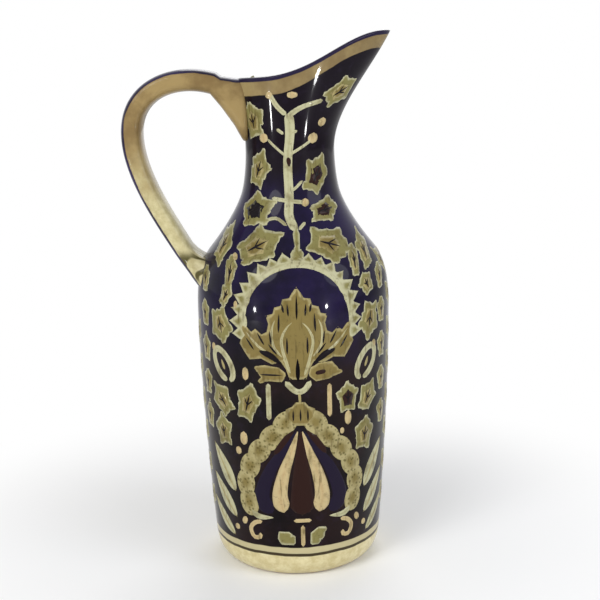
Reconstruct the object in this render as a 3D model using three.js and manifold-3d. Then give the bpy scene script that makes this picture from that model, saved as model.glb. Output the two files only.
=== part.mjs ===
// Glazed ceramic jug vase with a pulled pouring spout and a strap handle.
// Millimetres. +Z is up, +X is the way the spout points, and the handle stands at -X.
// The origin is the centre of the foot's flat underside, on the axis that the body is turned about.
//
// The jug is made the way a potter makes it: foot, drum, shoulder and neck are formed one by one and
// luted on top of each other with slip, each seam keyed by a tongue in a groove. The spout is pulled out
// of the neck's soft rim. The strap handle is luted on through two wads of clay, one under the rim and
// one on the shoulder. Firing then makes one piece of it all.

import * as THREE from "three";
import { mergeVertices } from "three/addons/utils/BufferGeometryUtils.js";
import Module from "manifold-3d";

// Driving sizes

const SIDES = 48; // facets round each turned piece
const SLIP = 0.3; // film of slip in every luted seam
const TONGUE_WIDTH = 1.6;
const TONGUE_HEIGHT = 1.4;

const WALL = 4.8; // body wall, square to its surface
const FLOOR_THICKNESS = 7;
const FLOOR_FILLET = 5; // where the floor turns up into the wall, inside

const FOOT_CONTACT_RADIUS = 41; // the flat that the jug stands on
const FOOT_RADIUS = 49.2; // at the seam above the foot
const FOOT_HEIGHT = 14.5;
const FOOT_ROUNDING = 3.5; // height at which the foot's curve turns upright

const BELLY_RADIUS = 55.6; // the widest turn, where drum and shoulder meet
const BELLY_HEIGHT = 150;

const SHOULDER_RADIUS = 46.5; // where the shoulder's round turns into its hollow
const SHOULDER_HEIGHT = 186;
const SHOULDER_FALL = 0.82; // radius lost for each millimetre of height there

const NECK_SEAM_RADIUS = 28.2;
const NECK_SEAM_HEIGHT = 216;
const NECK_SEAM_FALL = 0.335; // radius lost for each millimetre of height at that seam

const NECK_RADIUS = 25.2; // the narrowest turn, called the throat
const THROAT_HEIGHT = 241;
const NECK_WALL = 4.5;

const RIM_WALL = 4;
const RIM_HEIGHT = 280.5; // at the handle
const RIM_ROUNDING = 1.6;
const MOUTH_RADIUS = 28.5; // of the round back half of the mouth
const SPOUT_REACH = 57.5; // from the axis to the tip
const SPOUT_TIP_HEIGHT = 305;
const SPOUT_TAPER = 1.5; // the larger, the later the sides of the spout draw in
const SPOUT_POINT = 0.6; // the larger, the sharper the tip
const RIM_SWEEP = 3.2; // the larger, the later the rim climbs to the tip

const STRAP_WIDTH = 23;
const STRAP_THICKNESS = 12.6; // at the crest
const STRAP_THIN_END = 10.6; // at the shoulder
const STRAP_SQUARENESS = 0.62; // 1 is an ellipse, and less is squarer
const STRAP_RINGS = 16;
const STRAP_SIDES = 16;

const HANDLE_REACH = 89; // from the axis to the middle of the strap at its furthest
const HANDLE_REACH_HEIGHT = 250;
const HANDLE_CREST_RISE = 32; // pull of the curve above the furthest point
const HANDLE_FALL = 26; // pull of the curve below it
const HANDLE_START_HEIGHT = 272.5;
const HANDLE_END_HEIGHT = 170;

const UPPER_WAD_LENGTH = 14; // along the strap's line
const UPPER_WAD_DROP = 36; // height of the wad's web on the neck
const LOWER_WAD_LENGTH = 17;
const LOWER_WAD_WIDTH = 38; // where it spreads on the shoulder

const GLAZE = { cream: 0xd9cfa4, cobalt: 0x1a1440 };

// Turned profiles, as curves of (radius, height) that go up the outside

const at = (radius, height) => new THREE.Vector2(radius, height);

const footCurve = new THREE.QuadraticBezierCurve(
  at(FOOT_CONTACT_RADIUS, 0),
  at(FOOT_RADIUS - 1, FOOT_ROUNDING),
  at(FOOT_RADIUS, FOOT_HEIGHT),
);

const drumRise = BELLY_HEIGHT - FOOT_HEIGHT;
const drumCurve = new THREE.CubicBezierCurve(
  at(FOOT_RADIUS, FOOT_HEIGHT),
  at(FOOT_RADIUS + 0.375 * (BELLY_RADIUS - FOOT_RADIUS), FOOT_HEIGHT + 0.22 * drumRise),
  at(BELLY_RADIUS, BELLY_HEIGHT - 0.33 * drumRise),
  at(BELLY_RADIUS, BELLY_HEIGHT),
);

const ROUND_PULL = 8.5; // how far the shoulder keeps its slope each side of the turn
const shoulderCurve = new THREE.CurvePath();
shoulderCurve.add(
  new THREE.CubicBezierCurve(
    at(BELLY_RADIUS, BELLY_HEIGHT),
    at(BELLY_RADIUS, BELLY_HEIGHT + 0.45 * (SHOULDER_HEIGHT - BELLY_HEIGHT)),
    at(SHOULDER_RADIUS + SHOULDER_FALL * ROUND_PULL, SHOULDER_HEIGHT - ROUND_PULL),
    at(SHOULDER_RADIUS, SHOULDER_HEIGHT),
  ),
);
shoulderCurve.add(
  new THREE.CubicBezierCurve(
    at(SHOULDER_RADIUS, SHOULDER_HEIGHT),
    at(SHOULDER_RADIUS - SHOULDER_FALL * ROUND_PULL, SHOULDER_HEIGHT + ROUND_PULL),
    at(NECK_SEAM_RADIUS + NECK_SEAM_FALL * 9.5, NECK_SEAM_HEIGHT - 9.5),
    at(NECK_SEAM_RADIUS, NECK_SEAM_HEIGHT),
  ),
);

const neckRise = THROAT_HEIGHT - NECK_SEAM_HEIGHT;
const neckCurve = new THREE.CubicBezierCurve(
  at(NECK_SEAM_RADIUS, NECK_SEAM_HEIGHT),
  at(NECK_SEAM_RADIUS - 0.2 * NECK_SEAM_FALL * neckRise, NECK_SEAM_HEIGHT + 0.2 * neckRise),
  at(NECK_RADIUS, THROAT_HEIGHT - 0.4 * neckRise),
  at(NECK_RADIUS, THROAT_HEIGHT),
);

/** Points up the outside of a curve. */
function outside(curve, count) {
  return Array.from({ length: count + 1 }, (_, i) => curve.getPoint(i / count));
}

/** The same heights on the inside, going down, one wall in from the outside, square to the surface. */
function inside(curve, count, wall) {
  const points = outside(curve, count).map((point, i) => {
    const along = curve.getTangent(i / count);
    const level = (wall * along.length()) / Math.abs(along.y);
    return at(point.x - level, point.y);
  });
  return points.reverse();
}

/** How far in from the outside the inner face lies at an end of a curve, measured level. */
function levelWall(curve, end, wall) {
  return wall / Math.abs(curve.getTangent(end).y);
}

/** Top face of a seam, from outside to inside, with the groove that takes the tongue. */
function groovedTop(radius, level, height) {
  const middle = radius - level / 2;
  const half = TONGUE_WIDTH / 2 + SLIP;
  const bottom = height - TONGUE_HEIGHT;
  return [
    at(middle + half, height),
    at(middle + half, bottom),
    at(middle - half, bottom),
    at(middle - half, height),
  ];
}

/** Bottom face of a seam, from inside to outside, with the tongue that stands in the groove. */
function tonguedBottom(radius, level, height) {
  const middle = radius - level / 2;
  const half = TONGUE_WIDTH / 2;
  const tip = height + SLIP - TONGUE_HEIGHT;
  return [
    at(middle - half, height + SLIP),
    at(middle - half, tip),
    at(middle + half, tip),
    at(middle + half, height + SLIP),
  ];
}

/** A solid turned about the Z axis from a profile of (radius, height). */
function turned(profile) {
  const geometry = new THREE.LatheGeometry(profile, SIDES);
  geometry.rotateX(Math.PI / 2);
  return geometry;
}

/** Lifts the end of a curve by the slip film, so that the piece stands on its seam. */
function raised(points) {
  const [first, ...rest] = points;
  return [at(first.x, first.y + SLIP), ...rest];
}

/** The same for points that come down to the seam. */
function raisedEnd(points) {
  const last = points[points.length - 1];
  return [...points.slice(0, -1), at(last.x, last.y + SLIP)];
}

// The foot: a flat-bottomed dish that is the vessel's floor, and the cream band at the base

function foot() {
  const level = levelWall(drumCurve, 0, WALL);
  const innerRadius = FOOT_RADIUS - level;
  const fillet = new THREE.EllipseCurve(
    innerRadius - FLOOR_FILLET,
    FLOOR_THICKNESS + FLOOR_FILLET,
    FLOOR_FILLET,
    FLOOR_FILLET,
    0,
    -Math.PI / 2,
    true,
  );
  return turned([
    at(0, 0),
    ...outside(footCurve, 6),
    ...groovedTop(FOOT_RADIUS, level, FOOT_HEIGHT),
    at(innerRadius, FOOT_HEIGHT),
    ...outside(fillet, 3),
    at(0, FLOOR_THICKNESS),
  ]);
}

// The drum: the lower body wall, which widens to the belly seam

function drum() {
  const lower = levelWall(drumCurve, 0, WALL);
  const upper = levelWall(drumCurve, 1, WALL);
  const profile = [
    ...raised(outside(drumCurve, 6)),
    ...groovedTop(BELLY_RADIUS, upper, BELLY_HEIGHT),
    ...raisedEnd(inside(drumCurve, 6, WALL)),
    ...tonguedBottom(FOOT_RADIUS, lower, FOOT_HEIGHT),
  ];
  return turned([...profile, profile[0]]);
}

// The shoulder: from the belly seam over the round and up the hollow to the neck

function shoulder() {
  const lower = levelWall(shoulderCurve, 0, WALL);
  const upper = levelWall(shoulderCurve, 1, WALL);
  const profile = [
    ...raised(outside(shoulderCurve, 12)),
    ...groovedTop(NECK_SEAM_RADIUS, upper, NECK_SEAM_HEIGHT),
    ...raisedEnd(inside(shoulderCurve, 12, WALL)),
    ...tonguedBottom(BELLY_RADIUS, lower, BELLY_HEIGHT),
  ];
  return turned([...profile, profile[0]]);
}

// The neck: turned as a straight tube above the throat, then its rim is pulled out into the spout

/** A point of the mouth's outline, seen from above, a wall's depth in from the outside. */
function mouthOutline(angle, depth) {
  const c = Math.cos(angle);
  const s = Math.sin(angle);
  const half = MOUTH_RADIUS - depth;
  if (c <= 0) return at(half * c, half * s);
  const drawnIn = (1 - c ** SPOUT_TAPER) ** SPOUT_POINT;
  return at((SPOUT_REACH - depth) * c, Math.sign(s) * half * drawnIn);
}

/** Height of the rim over a point of the outer outline. */
function rimHeight(x) {
  const share = (x + MOUTH_RADIUS) / (SPOUT_REACH + MOUTH_RADIUS);
  const climb = Math.sin((Math.PI / 2) * THREE.MathUtils.clamp(share, 0, 1)) ** RIM_SWEEP;
  return RIM_HEIGHT + (SPOUT_TIP_HEIGHT - RIM_HEIGHT) * climb;
}

/** Pulls each vertex above the throat from the round tube to its place in the spouted neck. */
function pullSpout(geometry) {
  const places = geometry.getAttribute("position");
  for (let i = 0; i < places.count; i++) {
    const [x, y, z] = [places.getX(i), places.getY(i), places.getZ(i)];
    if (z <= THROAT_HEIGHT) continue;
    const radius = Math.hypot(x, y);
    const angle = Math.atan2(y, x);
    const rise = Math.min(1, (z - THROAT_HEIGHT) / (RIM_HEIGHT - THROAT_HEIGHT));
    const spread = rise * rise * (2 - rise);
    const thinning = 1 - rise * (1 - RIM_WALL / NECK_WALL);
    const rim = mouthOutline(angle, (NECK_RADIUS - radius) * thinning);
    const top = rimHeight(mouthOutline(angle, 0).x);
    const above = Math.max(0, z - RIM_HEIGHT);
    places.setXYZ(
      i,
      THREE.MathUtils.lerp(x, radius > 0 ? rim.x : 0, spread),
      THREE.MathUtils.lerp(y, radius > 0 ? rim.y : 0, spread),
      THROAT_HEIGHT + rise * (top - THROAT_HEIGHT) + above,
    );
  }
  return geometry;
}

/** Points up one side of the straight tube above the throat. */
function tubeSide(radius, count) {
  const top = RIM_HEIGHT - RIM_ROUNDING;
  const step = (top - THROAT_HEIGHT) / count;
  return Array.from({ length: count }, (_, i) => at(radius, THROAT_HEIGHT + step * (i + 1)));
}

function neckAndSpout() {
  const lower = levelWall(neckCurve, 0, NECK_WALL);
  const inner = NECK_RADIUS - NECK_WALL;
  const lip = RIM_ROUNDING / 4;
  const profile = [
    ...raised(outside(neckCurve, 5)),
    ...tubeSide(NECK_RADIUS, 8),
    at(NECK_RADIUS - NECK_WALL / 8, RIM_HEIGHT - lip),
    at(NECK_RADIUS - NECK_WALL / 2, RIM_HEIGHT),
    at(inner + NECK_WALL / 8, RIM_HEIGHT - lip),
    ...tubeSide(inner, 8).reverse(),
    ...raisedEnd(inside(neckCurve, 5, NECK_WALL)),
    ...tonguedBottom(NECK_SEAM_RADIUS, lower, NECK_SEAM_HEIGHT),
  ];
  return pullSpout(turned([...profile, profile[0]]));
}

// The handle's line, in the plane of the spout, from the neck over the crest and down to the shoulder

const inPlane = (x, z) => new THREE.Vector3(x, 0, z);

/** The shoulder's outside radius at a height, by halving. */
function shoulderRadius(height) {
  let [low, high] = [0, 1];
  for (let i = 0; i < 40; i++) {
    const middle = (low + high) / 2;
    if (shoulderCurve.getPoint(middle).y < height) low = middle;
    else high = middle;
  }
  return shoulderCurve.getPoint(low).x;
}

const handleLine = new THREE.CurvePath();
handleLine.add(
  new THREE.CubicBezierCurve3(
    inPlane(-MOUTH_RADIUS - 2.5, HANDLE_START_HEIGHT),
    inPlane(-MOUTH_RADIUS - 21.5, HANDLE_START_HEIGHT + 13.5),
    inPlane(-HANDLE_REACH, HANDLE_REACH_HEIGHT + HANDLE_CREST_RISE),
    inPlane(-HANDLE_REACH, HANDLE_REACH_HEIGHT),
  ),
);
const handleEnd = -shoulderRadius(HANDLE_END_HEIGHT);
handleLine.add(
  new THREE.CubicBezierCurve3(
    inPlane(-HANDLE_REACH, HANDLE_REACH_HEIGHT),
    inPlane(-HANDLE_REACH, HANDLE_REACH_HEIGHT - HANDLE_FALL),
    inPlane(handleEnd - 14, HANDLE_END_HEIGHT + 25),
    inPlane(handleEnd, HANDLE_END_HEIGHT),
  ),
);
const handleLength = handleLine.getLength();

/** Place and direction on the handle's line, a length in from its start. */
function onHandle(length) {
  const share = length / handleLength;
  return { centre: handleLine.getPointAt(share), along: handleLine.getTangentAt(share) };
}

/** A rounded oblong ring square to a direction in the handle's plane. */
function ring(centre, along, thickness, width) {
  const across = new THREE.Vector3(0, 1, 0).cross(along).normalize();
  const power = (v) => Math.sign(v) * Math.abs(v) ** STRAP_SQUARENESS;
  return Array.from({ length: STRAP_SIDES }, (_, i) => {
    const angle = (2 * Math.PI * i) / STRAP_SIDES;
    const point = centre.clone().addScaledVector(across, (power(Math.cos(angle)) * thickness) / 2);
    point.y += (power(Math.sin(angle)) * width) / 2;
    return point;
  });
}

/** A closed solid through rings of equal count, which go round anticlockwise about their direction. */
function loft(rings) {
  const sides = rings[0].length;
  const points = rings.flat();
  const middle = (loop) =>
    loop.reduce((sum, p) => sum.add(p), new THREE.Vector3()).divideScalar(sides);
  const start = points.push(middle(rings[0])) - 1;
  const end = points.push(middle(rings[rings.length - 1])) - 1;
  const last = (rings.length - 1) * sides;
  const faces = [];
  for (let k = 0; k < sides; k++) {
    const next = (k + 1) % sides;
    for (let row = 0; row < last; row += sides) {
      faces.push(row + k, row + next, row + sides + k);
      faces.push(row + next, row + sides + next, row + sides + k);
    }
    faces.push(start, next, k);
    faces.push(end, last + k, last + next);
  }
  const geometry = new THREE.BufferGeometry().setFromPoints(points);
  geometry.setIndex(faces);
  geometry.computeVertexNormals();
  return geometry;
}

/** The strap thins steadily from its crest end to its shoulder end. */
function strapThickness(length) {
  return THREE.MathUtils.lerp(STRAP_THICKNESS, STRAP_THIN_END, length / handleLength);
}

const strapStart = UPPER_WAD_LENGTH;
const strapEnd = handleLength - LOWER_WAD_LENGTH;

function strapRing(length) {
  const { centre, along } = onHandle(length);
  return ring(centre, along, strapThickness(length), STRAP_WIDTH);
}

function handleStrap() {
  const rings = [];
  for (let i = 0; i <= STRAP_RINGS; i++) {
    rings.push(strapRing(THREE.MathUtils.lerp(strapStart, strapEnd, i / STRAP_RINGS)));
  }
  return loft(rings);
}

// The wads: lofted into the vessel, then cut back to its outside

const wasm = await Module();
wasm.setup();

/** A closed geometry as a solid that can be cut. */
function solidOf(geometry) {
  const bare = geometry.clone();
  bare.deleteAttribute("normal");
  bare.deleteAttribute("uv");
  const merged = mergeVertices(bare, 1e-3);
  return new wasm.Manifold(
    new wasm.Mesh({
      numProp: 3,
      vertProperties: merged.attributes.position.array,
      triVerts: new Uint32Array(merged.index.array),
    }),
  );
}

/** A cut solid back as a geometry. */
function geometryOf(solid) {
  const { vertProperties, triVerts } = solid.getMesh();
  const geometry = new THREE.BufferGeometry();
  geometry.setAttribute("position", new THREE.Float32BufferAttribute(vertProperties, 3));
  geometry.setIndex(Array.from(triVerts));
  geometry.computeVertexNormals();
  return geometry;
}

/** A profile moved out by the slip film and closed on the axis: the room that the vessel takes. */
function roomOf(points) {
  const grown = points.map((p) => at(p.x + SLIP, p.y));
  const bottom = grown[0].y;
  const top = grown[grown.length - 1].y;
  return turned([at(0, bottom), ...grown, at(0, top)]);
}

function upperWad() {
  const { centre, along } = onHandle(strapStart - SLIP);
  const neckSide = -NECK_RADIUS;
  const webTop = RIM_HEIGHT + 0.4;
  const level = new THREE.Vector3(-1, 0, 0);
  /** An upright ring whose top follows the rim and whose foot drops down the neck. */
  const upright = (x, rise, drop) => {
    const top = webTop + rise;
    const middle = inPlane(x, top - drop / 2);
    return ring(middle, level, drop, STRAP_WIDTH);
  };
  const rings = [
    upright(neckSide + 8, 0, UPPER_WAD_DROP + 6),
    upright(neckSide, 0, UPPER_WAD_DROP - 1),
    upright(neckSide - 3, 0.1, UPPER_WAD_DROP - 5),
    upright(neckSide - 6, 0.2, UPPER_WAD_DROP - 10),
    upright(neckSide - 9, 0.7, UPPER_WAD_DROP - 14),
    upright(neckSide - 12.5, 1.5, UPPER_WAD_DROP - 18.5),
    ring(centre, along, strapThickness(strapStart), STRAP_WIDTH),
  ];
  const tube = tubeSide(NECK_RADIUS, 8);
  const room = pullSpout(
    roomOf([...outside(neckCurve, 5), ...tube, at(NECK_RADIUS, RIM_HEIGHT), at(NECK_RADIUS, RIM_HEIGHT + 9)]),
  );
  return geometryOf(solidOf(loft(rings)).subtract(solidOf(room)));
}

function lowerWad() {
  const { centre, along } = onHandle(strapEnd + SLIP);
  const thick = strapThickness(strapEnd);
  const inward = new THREE.Vector3(0, 1, 0).cross(along).negate();
  const outerEdge = centre.clone().addScaledVector(inward, -thick / 2);
  /** A ring a step further down, held at its outer edge and spread inwards and sideways. */
  const spread = (step, inset, thickness, width) => {
    const edge = outerEdge.clone().addScaledVector(along, step).addScaledVector(inward, inset);
    return ring(edge.addScaledVector(inward, thickness / 2), along, thickness, width);
  };
  const rings = [
    ring(centre, along, thick, STRAP_WIDTH),
    spread(6, 0.6, thick + 1.5, THREE.MathUtils.lerp(STRAP_WIDTH, LOWER_WAD_WIDTH, 0.2)),
    spread(13, 1.4, thick + 6, THREE.MathUtils.lerp(STRAP_WIDTH, LOWER_WAD_WIDTH, 0.6)),
    spread(21, 2.4, thick + 9, LOWER_WAD_WIDTH),
    spread(29, 3.6, thick + 9, LOWER_WAD_WIDTH + 2),
  ];
  const room = roomOf([...outside(drumCurve, 6), ...outside(shoulderCurve, 12).slice(1)]);
  return geometryOf(solidOf(loft(rings)).subtract(solidOf(room)));
}

// The jug

function piece(name, geometry, colour) {
  const material = new THREE.MeshStandardMaterial({ color: colour, roughness: 0.12, metalness: 0 });
  const mesh = new THREE.Mesh(geometry, material);
  mesh.name = name;
  return mesh;
}

const jug = new THREE.Group();
jug.add(
  piece("foot", foot(), GLAZE.cream),
  piece("drum", drum(), GLAZE.cobalt),
  piece("shoulder", shoulder(), GLAZE.cobalt),
  piece("neck_and_spout", neckAndSpout(), GLAZE.cobalt),
  piece("handle_strap", handleStrap(), GLAZE.cream),
  piece("handle_upper_wad", upperWad(), GLAZE.cream),
  piece("handle_lower_wad", lowerWad(), GLAZE.cream),
);

export default jug;
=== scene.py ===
import bpy
import math
import numpy as np
from mathutils import Matrix, Vector
from mathutils.geometry import delaunay_2d_cdt


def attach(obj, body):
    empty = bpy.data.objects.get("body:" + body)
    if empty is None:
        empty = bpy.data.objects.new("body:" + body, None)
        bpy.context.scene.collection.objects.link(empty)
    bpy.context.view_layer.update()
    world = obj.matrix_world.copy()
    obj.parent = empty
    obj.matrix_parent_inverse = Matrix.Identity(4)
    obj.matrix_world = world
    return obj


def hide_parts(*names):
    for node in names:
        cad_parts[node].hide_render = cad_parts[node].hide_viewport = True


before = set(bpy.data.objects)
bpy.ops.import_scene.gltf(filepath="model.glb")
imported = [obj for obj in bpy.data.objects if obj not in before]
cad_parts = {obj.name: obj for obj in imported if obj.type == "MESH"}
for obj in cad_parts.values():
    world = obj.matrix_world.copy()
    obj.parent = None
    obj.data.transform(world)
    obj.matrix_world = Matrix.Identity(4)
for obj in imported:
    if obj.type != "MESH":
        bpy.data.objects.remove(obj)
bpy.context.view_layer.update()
MM = 0.001


# The studio: a pale floor that keeps the jug's shadow, soft lamps at a plain level, and the camera
# at the photograph's place, 624 mm in front of the jug and 284 mm up, looking down at it.

CAMERA_PLACE = (3.97, -624.0, 283.6)
CAMERA_DOWN = math.radians(11.87)
CAMERA_ROLL = math.radians(1.18)
FOCAL_PIXELS = 1090
PHOTO_PIXELS = 600

camera = bpy.data.cameras.new("camera")
camera.sensor_width = 36
camera.lens = 36 * FOCAL_PIXELS / PHOTO_PIXELS
viewer = bpy.data.objects.new("camera", camera)
viewer.matrix_world = (
    Matrix.Translation([v * MM for v in CAMERA_PLACE])
    @ Matrix.Rotation(math.pi / 2 - CAMERA_DOWN, 4, "X")
    @ Matrix.Rotation(-CAMERA_ROLL, 4, "Z")
)
bpy.context.collection.objects.link(viewer)
bpy.context.scene.camera = viewer
bpy.context.scene.view_settings.view_transform = "Standard"


def new_material(name):
    """A node material with its Principled shader, and a short way to add linked nodes."""
    made = bpy.data.materials.new(name)
    made.use_nodes = True
    tree = made.node_tree
    shader = tree.nodes["Principled BSDF"]

    def add(kind, inputs=(), **settings):
        node = tree.nodes.new("ShaderNode" + kind)
        for key, value in settings.items():
            setattr(node, key, value)
        for key, value in dict(inputs).items():
            if isinstance(value, bpy.types.NodeSocket):
                tree.links.new(value, node.inputs[key])
            else:
                node.inputs[key].default_value = value
        return node

    return made, shader, add, tree.links


def linear(red, green, blue):
    """A colour given in 0 to 255 steps, as the shader wants it."""
    return tuple(((v / 255 + 0.055) / 1.055) ** 2.4 if v > 10 else v / 3294.6 for v in (red, green, blue)) + (1,)


def add_lamp(name, place, size, power, colour=(1, 1, 1)):
    """A soft square lamp in millimetres, turned towards the jug's middle."""
    lamp = bpy.data.lights.new(name, "AREA")
    lamp.shape = "DISK"
    lamp.size = size * MM
    lamp.energy = power
    lamp.color = colour
    holder = bpy.data.objects.new(name, lamp)
    holder.location = [v * MM for v in place]
    aim = np.array(place) - np.array((0, 0, 150))
    tilt = math.acos(aim[2] / np.linalg.norm(aim))
    holder.rotation_euler = (tilt, 0, math.atan2(aim[1], aim[0]) + math.pi / 2)
    bpy.context.collection.objects.link(holder)


add_lamp("key", (-700, -900, 900), 700, 9)
add_lamp("fill", (800, -500, 600), 600, 4, (0.9, 0.93, 1))
add_lamp("back", (200, 900, 900), 900, 5)
add_lamp("small_left", (-575, -600, 80), 40, 1.2)
add_lamp("small_right", (510, -650, 100), 40, 1.2)

world = bpy.data.worlds.new("studio")
world.use_nodes = True
bpy.context.scene.world = world
sky = world.node_tree.nodes["Background"]
path = world.node_tree.nodes.new("ShaderNodeLightPath")
seen = world.node_tree.nodes.new("ShaderNodeMath")
seen.operation = "MAXIMUM"
shown = world.node_tree.nodes.new("ShaderNodeMath")
shown.operation = "MULTIPLY_ADD"
WORLD_LEVEL = 0.4
world.node_tree.links.new(path.outputs["Is Camera Ray"], seen.inputs[0])
world.node_tree.links.new(path.outputs["Is Transmission Ray"], seen.inputs[1])
mirrored = world.node_tree.nodes.new("ShaderNodeMath")
mirrored.operation = "MAXIMUM"
world.node_tree.links.new(seen.outputs[0], mirrored.inputs[0])
world.node_tree.links.new(path.outputs["Is Glossy Ray"], mirrored.inputs[1])
world.node_tree.links.new(mirrored.outputs[0], shown.inputs[0])
shown.inputs[1].default_value = 1 - WORLD_LEVEL
shown.inputs[2].default_value = WORLD_LEVEL
world.node_tree.links.new(shown.outputs[0], sky.inputs["Strength"])
sky.inputs["Color"].default_value = (1, 1, 1, 1)

bpy.ops.mesh.primitive_plane_add(size=6)
floor = bpy.context.object
floor.name = "floor"
paper, paper_shader, add, links = new_material("floor_paper")
paper_shader.inputs["Base Color"].default_value = (0.88, 0.88, 0.88, 1)
paper_shader.inputs["Roughness"].default_value = 0.9
away = add("VectorMath", {0: add("TexCoord").outputs["Object"]}, operation="LENGTH").outputs["Value"]
fade = add("MapRange", {"Value": away, "From Min": 0.1, "From Max": 0.3}, interpolation_type="SMOOTHSTEP")
by_camera = add("LightPath").outputs["Is Camera Ray"]
white = add("Math", {0: fade.outputs["Result"], 1: by_camera}, operation="MULTIPLY").outputs[0]
glow = add("Emission")
blend = add("MixShader", {0: white, 1: paper_shader.outputs["BSDF"], 2: glow.outputs["Emission"]})
links.new(blend.outputs["Shader"], paper.node_tree.nodes["Material Output"].inputs["Surface"])
floor.data.materials.append(paper)


# The vessel: one glazed ceramic skin over foot, drum, shoulder, neck and pulled spout, luted together
# and fired as one. Cobalt ground with cream foot and rim, cream inside, bare biscuit underneath.

FOOT_CONTACT_RADIUS, FOOT_RADIUS, FOOT_HEIGHT = 41, 49.2, 14.5
BELLY_RADIUS, BELLY_HEIGHT = 55.6, 150
SHOULDER_RADIUS, SHOULDER_HEIGHT, SHOULDER_FALL = 46.5, 186, 0.82
NECK_SEAM_RADIUS, NECK_SEAM_HEIGHT, NECK_SEAM_FALL = 28.2, 216, 0.335
NECK_RADIUS, THROAT_HEIGHT, NECK_WALL = 25.2, 241, 4.5
MOUTH_RADIUS, SPOUT_REACH = 28.5, 57.5
RIM_HEIGHT, SPOUT_TIP_HEIGHT, RIM_WALL = 280.5, 305, 4
BODY_WALL, FLOOR_THICKNESS = 4.8, 7
SPOUT_TAPER, SPOUT_POINT, RIM_SWEEP = 1.5, 0.6, 3.2
ROUND_TURN = 240


def bezier(points, count):
    """Points along a Bezier curve of three or four control points."""
    t = np.linspace(0, 1, count + 1)[:, None]
    p = np.array(points, float)
    while len(p) > 1:
        p = [a * (1 - t) + b * t for a, b in zip(p[:-1], p[1:])]
    return p[0]


drum_rise = BELLY_HEIGHT - FOOT_HEIGHT
drum_pull = FOOT_RADIUS + 0.375 * (BELLY_RADIUS - FOOT_RADIUS)
neck_rise = THROAT_HEIGHT - NECK_SEAM_HEIGHT
outline = np.vstack(
    [
        bezier([(FOOT_CONTACT_RADIUS, 0), (FOOT_RADIUS - 1, 3.5), (FOOT_RADIUS, FOOT_HEIGHT)], 14),
        bezier(
            [
                (FOOT_RADIUS, FOOT_HEIGHT),
                (drum_pull, FOOT_HEIGHT + 0.22 * drum_rise),
                (BELLY_RADIUS, BELLY_HEIGHT - 0.33 * drum_rise),
                (BELLY_RADIUS, BELLY_HEIGHT),
            ],
            72,
        )[1:],
        bezier(
            [
                (BELLY_RADIUS, BELLY_HEIGHT),
                (BELLY_RADIUS, BELLY_HEIGHT + 0.45 * (SHOULDER_HEIGHT - BELLY_HEIGHT)),
                (SHOULDER_RADIUS + SHOULDER_FALL * 8.5, SHOULDER_HEIGHT - 8.5),
                (SHOULDER_RADIUS, SHOULDER_HEIGHT),
            ],
            28,
        )[1:],
        bezier(
            [
                (SHOULDER_RADIUS, SHOULDER_HEIGHT),
                (SHOULDER_RADIUS - SHOULDER_FALL * 8.5, SHOULDER_HEIGHT + 8.5),
                (NECK_SEAM_RADIUS + NECK_SEAM_FALL * 9.5, NECK_SEAM_HEIGHT - 9.5),
                (NECK_SEAM_RADIUS, NECK_SEAM_HEIGHT),
            ],
            24,
        )[1:],
        bezier(
            [
                (NECK_SEAM_RADIUS, NECK_SEAM_HEIGHT),
                (NECK_SEAM_RADIUS - 0.2 * NECK_SEAM_FALL * neck_rise, NECK_SEAM_HEIGHT + 0.2 * neck_rise),
                (NECK_RADIUS, THROAT_HEIGHT - 0.4 * neck_rise),
                (NECK_RADIUS, THROAT_HEIGHT),
            ],
            14,
        )[1:],
    ]
)


def radius_at(z):
    """Outside radius of the turned body at a height."""
    return np.interp(z, outline[:, 1], outline[:, 0])


def mouth(angle, depth=0):
    """The mouth's outline seen from above, a depth in from the outside."""
    c = np.cos(angle)
    s = np.sin(angle)
    drawn = (1 - np.clip(c, 0, 1) ** SPOUT_TAPER) ** SPOUT_POINT
    x = np.where(c <= 0, (MOUTH_RADIUS - depth) * c, (SPOUT_REACH - depth) * c)
    y = np.where(c <= 0, (MOUTH_RADIUS - depth) * s, np.sign(s) * (MOUTH_RADIUS - depth) * drawn)
    return x, y


def rim_height(angle):
    """Height of the rim in a direction from the axis."""
    share = (mouth(angle)[0] + MOUTH_RADIUS) / (SPOUT_REACH + MOUTH_RADIUS)
    climb = np.sin(math.pi / 2 * np.clip(share, 0, 1)) ** RIM_SWEEP
    return RIM_HEIGHT + (SPOUT_TIP_HEIGHT - RIM_HEIGHT) * climb


def skin_point(angle, z, depth=0.0):
    """A point of the outside, or a level depth inside it, at a direction and a real height."""
    angle, z, depth = np.broadcast_arrays(*np.atleast_1d(angle, z, depth))
    top = rim_height(angle)
    rise = np.clip((z - THROAT_HEIGHT) / (top - THROAT_HEIGHT), 0, 1)
    spread = rise * rise * (2 - rise)
    radius = radius_at(z) - depth
    mouth_x, mouth_y = mouth(angle, depth * (1 - rise * (1 - RIM_WALL / NECK_WALL)))
    x = (1 - spread) * radius * np.cos(angle) + spread * mouth_x
    y = (1 - spread) * radius * np.sin(angle) + spread * mouth_y
    return np.stack([x, y, z], -1)


def new_piece(name, points, faces, material, smooth=True):
    """A mesh piece in the row's frame, from points in millimetres."""
    mesh = bpy.data.meshes.new(name)
    mesh.from_pydata((np.asarray(points) * MM).tolist(), [], faces)
    mesh.polygons.foreach_set("use_smooth", [smooth] * len(mesh.polygons))
    mesh.materials.append(material)
    piece = bpy.data.objects.new(name, mesh)
    bpy.context.collection.objects.link(piece)
    return piece


def give_values(piece, name, values):
    """Keeps one number for each point of a piece, for its material to read."""
    piece.data.attributes.new(name, "FLOAT", "POINT").data.foreach_set("value", np.asarray(values, float))


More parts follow.
